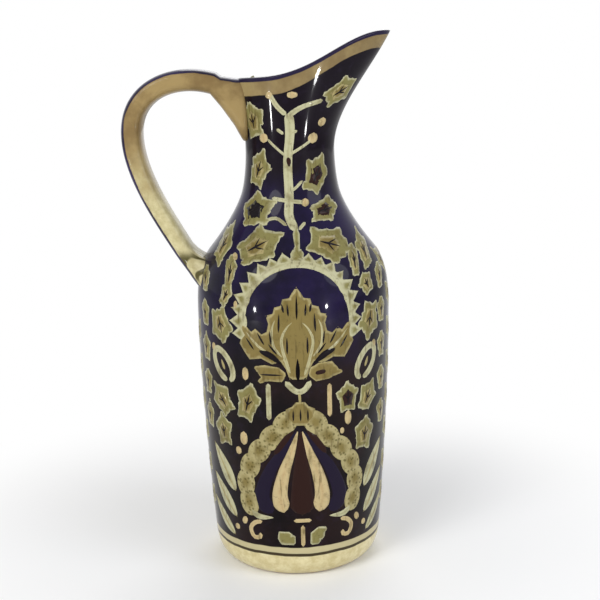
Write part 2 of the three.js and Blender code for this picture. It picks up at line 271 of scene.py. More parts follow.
def ring_faces(rings, around, first=0):
    """Faces between closed rings that follow each other."""
    faces = []
    for i in range(rings - 1):
        for k in range(around):
            a = first + i * around + k
            b = first + i * around + (k + 1) % around
            faces.append((a, b, b + around, a + around))
    return faces


angles = np.linspace(0, 2 * math.pi, ROUND_TURN, endpoint=False)
neck_steps = np.linspace(0, 1, 46)[1:-1]
rings = [skin_point(angles, z) for z in outline[:, 1]]
depths = [rim_height(angles) - z for z in outline[:, 1]]
for rise in neck_steps:
    z = THROAT_HEIGHT + rise * (rim_height(angles) - THROAT_HEIGHT)
    rings.append(skin_point(angles, z))
    depths.append(rim_height(angles) - z)
LIP = 0.9
for inset, drop in ((0.25, 0.35), (0.45 * RIM_WALL, 0), (RIM_WALL - 0.6, 0.35)):
    ring = skin_point(angles, rim_height(angles) - 1e-6, inset)
    ring[:, 2] = rim_height(angles) - drop
    rings.append(ring)
    depths.append(np.full(ROUND_TURN, -inset))
for rise in neck_steps[::-1][::2]:
    z = THROAT_HEIGHT + rise * (rim_height(angles) - THROAT_HEIGHT)
    rings.append(skin_point(angles, z, NECK_WALL))
    depths.append(np.full(ROUND_TURN, -50.0) - (1 - rise) * 50)
slope = np.hypot(1, np.gradient(outline[:, 0]) / np.maximum(np.gradient(outline[:, 1]), 0.2))
for (radius, z), lean in list(zip(outline, slope))[::-1][::3]:
    wall = (NECK_WALL if z > NECK_SEAM_HEIGHT else BODY_WALL) * lean
    if z > FLOOR_THICKNESS + 4:
        rings.append(skin_point(angles, z, wall))
        depths.append(np.full(ROUND_TURN, -200.0))
for inset, z in ((6.5, FLOOR_THICKNESS + 1), (11, FLOOR_THICKNESS)):
    flat = np.stack([(FOOT_RADIUS - inset) * np.cos(angles), (FOOT_RADIUS - inset) * np.sin(angles)], -1)
    rings.append(np.column_stack([flat, np.full(ROUND_TURN, z)]))
    depths.append(np.full(ROUND_TURN, -200.0))
points = np.vstack(rings + [[[0, 0, FLOOR_THICKNESS]], [[0, 0, 0]]])
inside_hub, under_hub = len(points) - 2, len(points) - 1
last = (len(rings) - 1) * ROUND_TURN
faces = ring_faces(len(rings), ROUND_TURN)
for k in range(ROUND_TURN):
    after = (k + 1) % ROUND_TURN
    faces.append((last + k, last + after, inside_hub))
    faces.append((after, k, under_hub))

glaze, shader, add, links = new_material("cobalt_ground_glaze")
place = add("TexCoord").outputs["Object"]
height = add("SeparateXYZ", {0: place}).outputs["Z"]
depth = add("Attribute", attribute_name="below_rim").outputs["Fac"]
cloud = add("TexNoise", {"Vector": place, "Scale": 28.0, "Detail": 5.0, "Roughness": 0.6}).outputs["Fac"]
brush = add("TexNoise", {"Vector": place, "Scale": 190.0, "Detail": 4.0, "Roughness": 0.65}).outputs["Fac"]
wobble = add("TexNoise", {"Vector": place, "Scale": 75.0, "Detail": 2.0}).outputs["Fac"]


def mixed(factor, low, high):
    """Colour between two, by a factor."""
    node = add("Mix", data_type="RGBA")
    for socket, value in ((0, factor), (6, low), (7, high)):
        if isinstance(value, bpy.types.NodeSocket):
            links.new(value, node.inputs[socket])
        else:
            node.inputs[socket].default_value = value
    return node.outputs[2]


def stepped(value, low, high):
    """0 below low, 1 above high, and smooth between."""
    node = add("MapRange", {"Value": value, "From Min": low, "From Max": high}, interpolation_type="SMOOTHSTEP")
    return node.outputs["Result"]


def arithmetic(operation, first, second):
    """One sum of two values."""
    return add("Math", {0: first, 1: second}, operation=operation).outputs[0]


def wavering(value, swing):
    """A value with the unsteadiness of a hand-drawn edge added."""
    return arithmetic("ADD", value, arithmetic("MULTIPLY", arithmetic("SUBTRACT", wobble, 0.5), swing))


violet = mixed(stepped(cloud, 0.35, 0.65), linear(12, 8, 26), linear(27, 19, 54))
umber = mixed(stepped(cloud, 0.38, 0.62), linear(12, 7, 9), linear(28, 16, 16))
level = wavering(height, 0.03)
ground = mixed(stepped(level, 0.118, 0.165), umber, violet)
ground = mixed(stepped(level, 0.205, 0.235), ground, linear(17, 10, 19))
ground = mixed(arithmetic("MULTIPLY", stepped(brush, 0.5, 0.75), 0.25), ground, linear(42, 33, 54))
cream = mixed(stepped(brush, 0.3, 0.7), linear(190, 176, 130), linear(212, 202, 160))
olive = mixed(stepped(cloud, 0.35, 0.65), linear(116, 98, 66), linear(152, 134, 92))
foot_cream = mixed(stepped(wavering(height, 0.0015), 0.0140, 0.0144), cream, linear(62, 54, 38))
foot_cream = mixed(stepped(wavering(height, 0.0015), 0.0158, 0.0162), foot_cream, linear(180, 170, 132))
painted = mixed(stepped(wavering(height, 0.0015), 0.0194, 0.0198), foot_cream, ground)
band = mixed(stepped(wavering(depth, 1.6), 9.6, 10.1), olive, linear(18, 12, 20))
painted = mixed(stepped(wavering(depth, 1.6), 10.9, 11.4), band, painted)
edge_line = mixed(stepped(wavering(depth, 0.8), 2.2, 2.7), linear(34, 28, 52), painted)
within = mixed(stepped(depth, -3.6, -2.6), cream, edge_line)
under = mixed(stepped(height, 0.0002, 0.0008), linear(196, 170, 138), within)
links.new(under, shader.inputs["Base Color"])
shader.inputs["Roughness"].default_value = 0.3
shader.inputs["Specular IOR Level"].default_value = 0.03
shader.inputs["Coat Weight"].default_value = 0.8
shader.inputs["Coat Roughness"].default_value = 0.05
shader.inputs["Coat IOR"].default_value = 1.2
bump = add("Bump", {"Height": cloud, "Strength": 0.12, "Distance": 0.0006})
links.new(bump.outputs["Normal"], shader.inputs["Normal"])

vessel = new_piece("glazed_vessel", points, faces, glaze)
give_values(vessel, "below_rim", np.concatenate(depths + [[-200.0, 320.0]]))
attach(vessel, "root")
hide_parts("foot", "drum", "shoulder", "neck_and_spout")


# The handle: a pulled strap of clay with its two wads, drawn out wide where it is luted under the rim
# and on the shoulder. Cream with an olive wash, and a cobalt stroke down its outer face.

STRAP_WIDTH, STRAP_THICKNESS, STRAP_THIN_END, STRAP_SQUARENESS = 23, 12.6, 10.6, 0.62
HANDLE_REACH, HANDLE_REACH_HEIGHT = 89, 250
STRAP_SIDES = 56
SINK = 2.2

shoulder_end = -float(radius_at(170))
upper_line = bezier(
    [(-MOUTH_RADIUS - 2.5, 272.5), (-MOUTH_RADIUS - 21.5, 286), (-HANDLE_REACH, 282), (-HANDLE_REACH, 250)], 60
)
lower_line = bezier(
    [(-HANDLE_REACH, 250), (-HANDLE_REACH, 224), (shoulder_end - 14, 195), (shoulder_end, 170)], 60
)
line = np.vstack([upper_line, lower_line[1:]])
along = np.concatenate([[0], np.cumsum(np.hypot(*np.diff(line, axis=0).T))])
length = along[-1]


def strap_ring(centre, direction, thick, wide):
    """A rounded oblong ring square to a direction in the handle's plane, and its distance from the back."""
    turn = np.linspace(0, 2 * math.pi, STRAP_SIDES, endpoint=False)
    power = lambda v: np.sign(v) * np.abs(v) ** STRAP_SQUARENESS
    across = np.array([direction[1], -direction[0]])
    reach = power(np.cos(turn)) * thick / 2
    side = power(np.sin(turn)) * wide / 2
    ring = np.stack([centre[0] + across[0] * reach, side, centre[1] + across[1] * reach], -1)
    return ring, thick / 2 - reach


strap_rings = []
from_back = []
for x, drop in ((NECK_RADIUS - 2, 36), (NECK_RADIUS + 1, 34.5), (NECK_RADIUS + 3, 31), (NECK_RADIUS + 5.5, 26.5),
                (NECK_RADIUS + 9, 22), (NECK_RADIUS + 12.5, 17.5)):
    rise = max(0, x - NECK_RADIUS - 4) * 0.17
    ring, gap = strap_ring((-x, RIM_HEIGHT + rise - 0.2 - drop / 2), (-1, 0), drop, STRAP_WIDTH + 0.03 * (drop - 14) ** 1.5)
    strap_rings.append(ring)
    from_back.append(gap)
for share in np.linspace(0.075, 0.9, 64):
    here = share * length
    centre = np.array([np.interp(here, along, line[:, 0]), np.interp(here, along, line[:, 1])])
    ahead = np.array([np.interp(here + 1, along, line[:, 0]), np.interp(here + 1, along, line[:, 1])])
    direction = (ahead - centre) / np.linalg.norm(ahead - centre)
    thick = STRAP_THICKNESS + (STRAP_THIN_END - STRAP_THICKNESS) * share
    ring, gap = strap_ring(centre, direction, thick, STRAP_WIDTH)
    strap_rings.append(ring)
    from_back.append(gap)
outward = np.array([direction[1], -direction[0]])
outer_edge = centre + outward * thick / 2
for step, inset, grow, wide in ((4, 0.2, 0.6, 24), (8, 0.5, 2, 26), (12, 0.8, 4.5, 29), (16, 1, 7, 32.5), (21, 1.4, 10, 36), (26, 2, 11, 37)):
    spot = outer_edge + direction * step - outward * (inset + (thick + grow) / 2)
    ring, gap = strap_ring(spot, direction, thick + grow, wide)
    strap_rings.append(ring)
    from_back.append(gap)

strap_points = np.vstack(strap_rings)
bearing = np.arctan2(strap_points[:, 1], strap_points[:, 0])
floor_radius = np.linalg.norm(skin_point(bearing, strap_points[:, 2])[:, :2], axis=1) - SINK
radial = np.linalg.norm(strap_points[:, :2], axis=1)
push = np.maximum(1, floor_radius / np.maximum(radial, 1e-6))
strap_points[:, :2] *= push[:, None]
count = len(strap_rings)
start_hub = strap_points[:STRAP_SIDES].mean(0)
end_hub = strap_points[-STRAP_SIDES:].mean(0)
strap_points = np.vstack([strap_points, start_hub, end_hub])
faces = ring_faces(count, STRAP_SIDES)
last = (count - 1) * STRAP_SIDES
for k in range(STRAP_SIDES):
    after = (k + 1) % STRAP_SIDES
    faces.append((after, k, count * STRAP_SIDES))
    faces.append((last + k, last + after, count * STRAP_SIDES + 1))

strap_glaze, shader, add, links = new_material("handle_glaze")
place = add("TexCoord").outputs["Object"]
height = add("SeparateXYZ", {0: place}).outputs["Z"]
back = add("Attribute", attribute_name="from_back").outputs["Fac"]
cloud = add("TexNoise", {"Vector": place, "Scale": 45.0, "Detail": 5.0, "Roughness": 0.6}).outputs["Fac"]
brush = add("TexNoise", {"Vector": place, "Scale": 220.0, "Detail": 4.0, "Roughness": 0.65}).outputs["Fac"]
wobble = add("TexNoise", {"Vector": place, "Scale": 75.0, "Detail": 2.0}).outputs["Fac"]
wash = mixed(stepped(cloud, 0.35, 0.65), linear(118, 97, 62), linear(148, 127, 84))
pale = mixed(stepped(brush, 0.3, 0.7), linear(172, 161, 118), linear(196, 187, 145))
side_colour = mixed(stepped(wavering(height, 0.03), 0.205, 0.245), pale, wash)
across_root = add("SeparateXYZ", {0: place}).outputs["Y"]
stripes = arithmetic("SINE", arithmetic("MULTIPLY", wavering(across_root, 0.002), 1500.0), 0.0)
by_root = arithmetic("SUBTRACT", stepped(height, 0.165, 0.17), stepped(height, 0.18, 0.186))
side_colour = mixed(arithmetic("MULTIPLY", stepped(stripes, 0.3, 0.8), by_root), side_colour, linear(84, 78, 46))
cobalt = mixed(stepped(cloud, 0.35, 0.65), linear(22, 17, 40), linear(40, 32, 70))
links.new(mixed(stepped(wavering(back, 1.2), 2.1, 2.6), cobalt, side_colour), shader.inputs["Base Color"])
shader.inputs["Roughness"].default_value = 0.3
shader.inputs["Specular IOR Level"].default_value = 0.03
shader.inputs["Coat Weight"].default_value = 0.8
shader.inputs["Coat Roughness"].default_value = 0.06
shader.inputs["Coat IOR"].default_value = 1.2
bump = add("Bump", {"Height": cloud, "Strength": 0.15, "Distance": 0.0006})
links.new(bump.outputs["Normal"], shader.inputs["Normal"])

handle = new_piece("strap_handle", strap_points, faces, strap_glaze)
give_values(handle, "from_back", np.concatenate(from_back + [[10.0, 10.0]]))
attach(handle, "root")
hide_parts("handle_strap", "handle_upper_wad", "handle_lower_wad")


# The painted flowers: thick cream and olive slip laid on the cobalt with a brush, standing a fifth of a
# millimetre proud. Each stroke is a row of points with a width and each patch a drawn outline, in
# millimetres round the jug and up it. The panel faces the front and the back alike.

STROKE_LIFT = 0.2
STROKE_ROOT = 0.35
PATCH_EDGE = 1.5
ARCH_MIDDLE, ARCH_SWEEP = (2.5, 151), 1.82
slip_points = []
slip_faces = []
slip_values = {"tone": [], "across": [], "along": []}
CREAM, STRAW, BUFF, WREATH, OLIVE, RUST, COBALT, INK = 0.05, 0.22, 0.31, 0.36, 0.42, 0.6, 0.78, 0.95
chance = np.random.default_rng(7)


def smooth_row(row, count):
    """Points on a smooth curve through a row of points, evenly spread, and its length."""
    row = np.array(row, float)
    if len(row) == 2:
        row = np.array([row[0], row.mean(0), row[1]])
    padded = np.vstack([2 * row[0] - row[1], row, 2 * row[-1] - row[-2]])
    parts = []
    t = np.linspace(0, 1, 12, endpoint=False)[:, None]
    for a, b, c, d in zip(padded, padded[1:], padded[2:], padded[3:]):
        parts.append(0.5 * (2 * b + (c - a) * t + (2 * a - 5 * b + 4 * c - d) * t**2 + (3 * b - a - 3 * c + d) * t**3))
    curve = np.vstack(parts + [row[-1:]])
    run = np.concatenate([[0], np.cumsum(np.hypot(*np.diff(curve, axis=0).T))])
    even = np.linspace(0, run[-1], count)
    return np.stack([np.interp(even, run, curve[:, i]) for i in (0, 1)], -1), run[-1]


def lay(flat, faces, height, turn, tone, across, run):
    """Wraps a flat shape on the vessel as a closed film: its face, its underside and its rim."""
    angle = turn - math.pi / 2 + flat[:, 0] / radius_at(np.minimum(flat[:, 1], THROAT_HEIGHT))
    z = flat[:, 1]
    base = skin_point(angle, z)
    sideways = skin_point(angle + 0.01, z) - skin_point(angle - 0.01, z)
    upwards = skin_point(angle, z + 0.2) - skin_point(angle, z - 0.2)
    out = np.cross(sideways, upwards)
    out /= np.linalg.norm(out, axis=1)[:, None]
    first = sum(len(p) for p in slip_points)
    total = len(flat)
    slip_points.extend([base + out * np.asarray(height)[:, None], base - out * STROKE_ROOT])
    edges = {}
    for face in faces:
        slip_faces.append(tuple(first + i for i in face))
        slip_faces.append(tuple(first + total + i for i in reversed(face)))
        for a, b in zip(face, face[1:] + face[:1]):
            edges[(a, b)] = True
    for a, b in edges:
        if (b, a) not in edges:
            slip_faces.append((first + b, first + a, first + a + total, first + b + total))
    for name, value in (("tone", tone), ("across", across), ("along", run)):
        slip_values[name].append(np.tile(np.broadcast_to(value, total), 2))


def stroke(row, width, tone, shape="leaf", turn=0.0, lift=0.0, crown_height=STROKE_LIFT):
    """One brush stroke along a row of points, at its widest as wide as stated."""
    _, run = smooth_row(row, 3)
    count = int(np.clip(run / 1.5, 7, 70))
    centre, run = smooth_row(row, count)
    t = np.linspace(0, 1, count)
    ends = np.clip(np.minimum(t, 1 - t) * run / (0.5 * width), 0, 1)
    half = {
        "leaf": np.sin(math.pi * t**0.8) ** 0.8,
        "dot": np.sqrt(np.clip(1 - (2 * t - 1) ** 2, 0, 1)),
        "drop": np.sqrt(np.clip(t / 0.1, 0, 1)) * (1 - t) ** 0.62,
        "band": ends**0.5,
    }[shape]
    half = np.maximum(half, 0.05) * width / 2
    direction = np.gradient(centre, axis=0)
    direction /= np.linalg.norm(direction, axis=1)[:, None]
    normal = np.stack([-direction[:, 1], direction[:, 0]], -1)
    across = np.linspace(1, -1, 7)
    flat = (centre[:, None] + normal[:, None] * half[:, None, None] * across[None, :, None]).reshape(-1, 2)
    crown = (1 - across**2)[None, :] * np.minimum(1, 6 * np.minimum(t, 1 - t))[:, None] ** 0.5
    faces = []
    for i in range(count - 1):
        for k in range(6):
            a = i * 7 + k
            faces.append((a, a + 1, a + 8, a + 7))
    edge_share = np.tile(0.5 + 0.5 * np.abs(across), count)
    lay(flat, faces, lift - 0.04 + crown_height * crown.ravel(), turn, tone, edge_share, np.repeat(t * run, 7))


def patch(outline, tone, turn=0.0, lift=0.0, grain=2.4, crown_height=STROKE_LIFT):
    """A filled shape inside a drawn outline, rounded down to its edge."""
    corners = np.array(outline, float)
    if np.sum(corners[:, 0] * np.roll(corners[:, 1], -1) - corners[:, 1] * np.roll(corners[:, 0], -1)) < 0:
        corners = corners[::-1]
    border = []
    for a, b in zip(corners, np.roll(corners, -1, axis=0)):
        steps = max(1, int(np.linalg.norm(b - a) / 1.3))
        border.extend(a + (b - a) * i / steps for i in range(steps))
    border = np.array(border)
    low, high = border.min(0), border.max(0)
    grid = np.stack(np.meshgrid(np.arange(low[0], high[0], grain), np.arange(low[1], high[1], grain)), -1).reshape(-1, 2)
    grid = np.vstack([grid, *[border + (border.mean(0) - border) * 0.02]])[: len(grid)]
    nearest = np.linalg.norm(grid[:, None] - border[None], axis=2).min(1)
    spots = np.vstack([border, grid[nearest > 0.9]])
    ring = [(i, (i + 1) % len(border)) for i in range(len(border))]
    corner_list = [Vector(p) for p in spots]
    points, _, faces, _, _, _ = delaunay_2d_cdt(corner_list, ring, [list(range(len(border)))], 1, 1e-4)
    flat = np.array([tuple(p) for p in points])
    edge = np.linalg.norm(flat[:, None] - border[None], axis=2).min(1)
    across = np.clip(1 - edge / PATCH_EDGE, 0, 1)
    lay(flat, [tuple(f) for f in faces], lift - 0.04 + crown_height * (1 - across**2), turn, tone, across, flat[:, 1])


def both_sides(row, width, tone, shape="leaf", turn=0.0, middle=2.5, lift=0.0):
    """A stroke and its mirror image about the panel's middle line."""
    stroke(row, width, tone, shape, turn, lift)
    stroke([(2 * middle - s, z) for s, z in row], width, tone, shape, turn, lift)


def ragged_leaf(s, z, wide, tall, heading, tone, turn, core=OLIVE, lobes=5):
    """A five-pointed leaf with a dark-washed middle and a vein, its tip at a heading in degrees."""
    lean = math.radians(heading)
    ring = []
    for i in range(40):
        phi = 2 * math.pi * i / 40
        reach = 1.2 + 0.17 * math.cos(lobes * phi) + 0.08 * math.cos(2 * lobes * phi) + chance.uniform(-0.05, 0.05)
        x, y = reach * math.cos(phi) * tall / 2, reach * math.sin(phi) * wide / 2
        ring.append((s + x * math.cos(lean) - y * math.sin(lean), z + x * math.sin(lean) + y * math.cos(lean)))
    patch(ring, tone, turn)
    step = np.array((math.cos(lean), math.sin(lean))) * tall * 0.3
    aside = np.array((-math.sin(lean), math.cos(lean))) * wide * 0.22
    here = np.array((s, z))
    heart = [here + (np.array(point) - here) * 0.5 - step * 0.15 for point in ring[::2]]
    patch(heart, core, turn, lift=0.2, crown_height=0.04)
    stroke([here - step, here + step * 0.9], 1.1, INK, "leaf", turn, 0.25, 0.06)
    for side in (-1, 1):
        stroke([here - step * 0.3, here + step * 0.4 + side * aside], 0.8, INK, "leaf", turn, 0.25, 0.06)


def ring_leaf(s, z, wide, tall, lean, tone, turn):
    """A leaf drawn as an open outline with a dark heart."""
    ring = []
    for phi in np.linspace(0, 2 * math.pi, 17):
        x, y = math.sin(phi) * wide / 2, -math.cos(phi) * tall / 2
        ring.append((s + x - lean * y, z + y))
    stroke(ring, 4.4, tone, "band", turn)
    stroke([(s - lean * -3, z - 3), (s - lean * 3, z + 3)], 2.2, OLIVE, "leaf", turn)


PALMETTE = (
    (2, 171), (-0.5, 167.5), (-2, 165), (-5.5, 164.5), (-6.5, 161), (-10, 160), (-11, 156.5), (-15, 155.5),
    (-13.5, 151), (-14.5, 146.5), (-17.5, 145), (-21, 148), (-23.5, 146), (-27, 149.5), (-31, 150.5), (-29, 144),
    (-31, 139), (-28, 134.5), (-25, 130.5), (-18, 131.5), (-12, 128.5), (-7, 130), (-4.5, 126), (-2.5, 120),
)


def panel(turn):
    """The whole panel from foot to rim, around one face of the jug."""
    # Foot scrolls
    stroke([(3, 20), (3, 34)], 2.6, CREAM, "band", turn)
    stroke([(-2.5, 36.5), (8.5, 36.5)], 2.6, CREAM, "band", turn)
    patch([(-1, 21), (-9, 21), (-12, 25), (-11, 30), (-5, 30), (-1, 27)], STRAW, turn)
    patch([(6.5, 20.5), (7, 29), (12, 32.5), (17.5, 32), (16, 26), (12, 21)], STRAW, turn)
    both_sides([(-20, 35), (-25, 33.5), (-28, 29.5), (-26, 24.5), (-22, 25), (-22, 28)], 3, CREAM, "band", turn)
    both_sides([(-33, 31), (-31, 36)], 4, CREAM, "dot", turn)
    # The onion bulb in its wreath
    both_sides([(-14, 40), (-20, 50), (-15, 66), (-6, 80), (1, 91)], 12, COBALT, "drop", turn)
    both_sides([(-12, 76), (-8, 82), (-1, 91)], 5, RUST, "leaf", turn, lift=0.04)
    stroke([(3, 40), (3, 60), (3, 90)], 15, RUST, "drop", turn, lift=0.04)
    both_sides([(-7.5, 41.5), (-9.5, 52), (-7, 65), (-2.5, 78), (1.2, 90)], 10, CREAM, "drop", turn, lift=0.08)
    both_sides([(-29, 44), (-23, 38), (-13, 38)], 4, STRAW, "leaf", turn)
    patch(
        [(-2, 93.5), (-5.5, 98), (-5, 103), (-1.5, 104.5), (0.5, 107), (5.5, 107), (7.5, 104.5), (11, 103), (11.5, 98),
         (8, 93.5)], OLIVE, turn, lift=0.06)
    for s in (-1, 3, 7):
        stroke([(s, 96), (s, 103)], 1, INK, "leaf", turn, lift=0.26)
    # Bars, stem and calyx that carry the palmette
    stroke([(-14.5, 96), (-14.5, 118)], 3.2, STRAW, "band", turn)
    stroke([(19.5, 97), (19.5, 117)], 3, CREAM, "band", turn)
    stroke([(3, 106), (2.5, 113)], 1.6, OLIVE, "band", turn)
    stroke([(-5, 119), (-1, 114.5), (2.5, 112.8), (6, 114.5), (9, 119)], 3.2, STRAW, "band", turn, lift=0.06)
    patch([(-3, 123), (-7, 118), (-14, 118.5), (-23, 116), (-19, 121), (-23.5, 127), (-16, 128.5), (-8, 127)], OLIVE, turn)
    patch([(7, 122), (12, 118), (19, 119), (29, 122), (25, 125), (21, 129.5), (13, 129), (9, 127)], OLIVE, turn)
    stroke([(11, 123), (18, 124)], 3.6, RUST, "dot", turn, lift=0.1)
    stroke([(-19, 122.5), (-6, 122.5)], 1.2, INK, "leaf", turn, lift=0.16)
    # The palmette with its inner tier, veins and dark eyes
    patch(PALMETTE + tuple((4 - s, z) for s, z in PALMETTE[:0:-1]), OLIVE, turn, lift=0.04)
    both_sides([(-1, 121), (-5, 133), (-6.5, 142), (-3.5, 149), (1.5, 153.5)], 3, BUFF, "leaf", turn, 2, 0.1)
    both_sides([(-5, 131), (-11, 139), (-11.5, 148), (-9, 155)], 2.6, BUFF, "leaf", turn, 2, 0.1)
    both_sides([(-8, 131.5), (-19, 138), (-28, 147.5)], 2.6, BUFF, "leaf", turn, 2, 0.1)
    for row in (
        [(2, 119), (2, 126), (2, 132)], [(2, 153), (2, 167)], [(-2.5, 155), (-3, 162)], [(-8, 146), (-7.5, 157)],
        [(-3.5, 134), (-3.5, 144)], [(-12, 139), (-13, 147)], [(-16, 139), (-20, 146)], [(-22, 136), (-27, 143)],
        [(-9, 134), (-14, 140)], [(-5, 157), (-6, 162)],
    ):
        both_sides(row, 2.6 if row[0][1] < 120 else 1.3, INK, "leaf", turn, 2, 0.2)
    both_sides([(-19.5, 136), (-13, 133.5), (-6.5, 128.5)], 4, INK, "leaf", turn, 2, 0.2)
    # The horseshoe arch over it, whose outer teeth are laid further down
    sweep = np.linspace(-ARCH_SWEEP, ARCH_SWEEP, 25)
    arch = [(ARCH_MIDDLE[0] + 32 * math.sin(a), ARCH_MIDDLE[1] + 32 * math.cos(a)) for a in sweep]
    stroke(arch, 5.6, STRAW, "band", turn)
    # Leaves on the shoulder and the neck's stem with twigs, thorns and buds
    patch([(3, 183), (-2, 186), (1.5, 191), (0, 197), (2.5, 203), (5, 197), (5, 190), (8, 186)], STRAW, turn)
    stroke([(3, 198), (-1, 206), (-0.8, 216), (-1.2, 235), (0.2, 250), (-0.5, 262)], 5.6, STRAW, "band", turn)
    for row, width in (
        ([(-1, 260), (-6, 265), (-10, 272)], 3), ([(-1, 259), (5, 264.5), (14, 268)], 3), ([(-11, 215.5), (-1, 214)], 2.4),
        ([(-1, 214), (8, 213)], 2.4), ([(0, 219), (3, 221), (7, 225)], 1.8), ([(-2, 238), (-9, 244), (-13, 248)], 1.6),
        ([(0, 239), (7, 243), (13, 247)], 1.8), ([(-3, 250), (-7, 253)], 2), ([(0, 250), (4, 252)], 2),
        ([(4, 199), (8, 203)], 2), ([(-2, 201), (-8, 205), (-14, 204)], 2),
    ):
        stroke(row, width, STRAW, "band", turn)
    stroke([(-1, 238), (-0.5, 232)], 3, RUST, "leaf", turn, lift=0.1)
    for s, z, size in ((-15, 248, 5.5), (13, 247.5, 6), (8, 213, 4.5), (1, 271, 3.6), (-10, 271, 4), (17, 256, 5), (-34, 185, 4)):
        stroke([(s, z - size / 2), (s, z + size / 2)], size, CREAM, "dot", turn, lift=0.04)
    for s, z, wide, tall, heading, core in (
        (15.5, 228, 13, 19, 65, RUST), (-22, 257.5, 14, 17, 100, OLIVE), (-19, 231, 12, 18, 70, OLIVE),
        (22, 272.5, 12, 16, 35, OLIVE), (20.5, 208.5, 11, 17, 10, RUST), (-21, 209, 14, 20, 20, INK),
        (-19, 191, 14, 24, 25, OLIVE), (22.5, 191, 14, 24, -15, OLIVE), (-46, 190, 12, 20, 60, OLIVE), (48, 186, 11, 18, 100, OLIVE),
        (-37, 177, 7, 19, 80, OLIVE), (37.5, 182, 7, 16, 95, OLIVE), (-40, 165, 7, 14, 60, OLIVE), (46, 169, 10, 12, 120, OLIVE),
        (-45, 147.5, 14, 17, -75, OLIVE), (-46, 104.5, 13, 17, 130, OLIVE), (-46, 86, 12, 16, 100, OLIVE),
        (-27, 105.5, 12, 19, 75, OLIVE), (48, 148.5, 14, 18, -100, OLIVE), (46, 104.5, 12, 16, 60, OLIVE),
        (43.5, 83, 13, 17, 80, OLIVE), (31, 107, 12, 15, 90, RUST),
    ):
        ragged_leaf(s, z, wide, tall, heading, STRAW, turn, core)
    ring_leaf(-44, 125, 13, 17, 0.45, STRAW, turn)
    ring_leaf(45, 125, 13, 17, -0.45, STRAW, turn)
    for z in (92, 112, 132, 152, 171):
        ragged_leaf(-61, z, 9, 14, 90, STRAW, turn)
        ragged_leaf(61, z, 9, 14, 90, STRAW, turn)
    for s, z, wide, tall in (
        (-28, 122, 4.5, 8), (-30.5, 84, 5.5, 8.5), (-34.5, 76, 4.5, 5), (31, 95, 5, 9), (-33, 160, 3, 5), (-52, 134, 4, 5),
        (52, 134, 4, 5), (27, 88, 3, 4),
    ):
        stroke([(s, z - tall / 2), (s, z + tall / 2)], wide, CREAM, "dot", turn)
    # Long feathered leaves low on the sides
    for row, width in (
        ([(-38, 50), (-46, 62), (-57, 76)], 11), ([(-38, 34), (-47, 44), (-59, 57)], 10), ([(-40, 22), (-50, 30), (-62, 41)], 8),
    ):
        both_sides(row, width, STRAW, "leaf", turn)
        both_sides(row, 1.3, OLIVE, "leaf", turn, lift=0.16)
    both_sides([(-38, 26), (-38, 30)], 4, CREAM, "dot", turn)


def side_field(turn, pairs):
    """Pairs of leaves up a stem, on the sides between the two panels."""
    stroke([(0, 24), (1.5, 80), (-1.5, 120), (0, 32 + 20 * pairs)], 2.4, STRAW, "band", turn)
    for z in range(30, 30 + 20 * pairs, 20):
        for side in (-1, 1):
            ragged_leaf(side * 10, z + 8, 10, 16, 90 - side * 40, STRAW, turn)
        stroke([(0, z + 9), (0, z + 14)], 4, CREAM, "dot", turn, lift=0.05)


for half_turn in (0, math.pi):
    panel(half_turn)
    side_field(half_turn + math.pi / 2, 8 if half_turn == 0 else 6)

slip, shader, add, links = new_material("painted_slip")
place = add("TexCoord").outputs["Object"]
tone = add("Attribute", attribute_name="tone").outputs["Fac"]
across = add("Attribute", attribute_name="across").outputs["Fac"]
cloud = add("TexNoise", {"Vector": place, "Scale": 110.0, "Detail": 4.0, "Roughness": 0.6}).outputs["Fac"]
brush = add("TexNoise", {"Vector": place, "Scale": 480.0, "Detail": 4.0, "Roughness": 0.7}).outputs["Fac"]
wobble = add("TexNoise", {"Vector": place, "Scale": 300.0, "Detail": 2.0}).outputs["Fac"]
light = mixed(stepped(tone, 0.08, 0.2), linear(182, 164, 122), linear(174, 171, 137))
light = mixed(stepped(tone, 0.25, 0.4), light, linear(158, 146, 100))
middle = mixed(stepped(tone, 0.08, 0.2), linear(162, 130, 84), linear(124, 118, 72))
middle = mixed(stepped(tone, 0.25, 0.4), middle, linear(120, 105, 60))
washed = mixed(stepped(wavering(across, 0.5), 0.1, 0.75), middle, light)
washed = mixed(arithmetic("MULTIPLY", stepped(cloud, 0.48, 0.7), 0.55), washed, linear(96, 84, 42))
upright = add("Mapping", {"Vector": place, "Scale": (1.0, 1.0, 0.16)}).outputs["Vector"]
streaks = add("TexNoise", {"Vector": upright, "Scale": 520.0, "Detail": 3.0, "Roughness": 0.6}).outputs["Fac"]
washed = mixed(arithmetic("MULTIPLY", stepped(streaks, 0.54, 0.68), 0.5), washed, linear(74, 62, 34))
washed = mixed(arithmetic("MULTIPLY", stepped(brush, 0.57, 0.68), 0.4), washed, linear(70, 60, 36))
dots = add("TexVoronoi", {"Vector": place, "Scale": 430.0}).outputs["Distance"]
wreath_only = arithmetic("COMPARE", tone, WREATH)
wreath_only.node.inputs[2].default_value = 0.015
stippled = arithmetic("MULTIPLY", arithmetic("SUBTRACT", 1.0, stepped(dots, 0.22, 0.4)), wreath_only)
washed = mixed(arithmetic("MULTIPLY", stippled, 0.65), washed, linear(70, 62, 26))
dark = mixed(stepped(tone, 0.62, 0.76), linear(40, 21, 17), linear(26, 19, 38))
dark = mixed(stepped(tone, 0.8, 0.93), dark, linear(16, 10, 14))
links.new(mixed(stepped(tone, 0.48, 0.54), washed, dark), shader.inputs["Base Color"])
shader.inputs["Roughness"].default_value = 0.35
shader.inputs["Specular IOR Level"].default_value = 0.03
shader.inputs["Coat Weight"].default_value = 0.75
shader.inputs["Coat Roughness"].default_value = 0.07
shader.inputs["Coat IOR"].default_value = 1.2

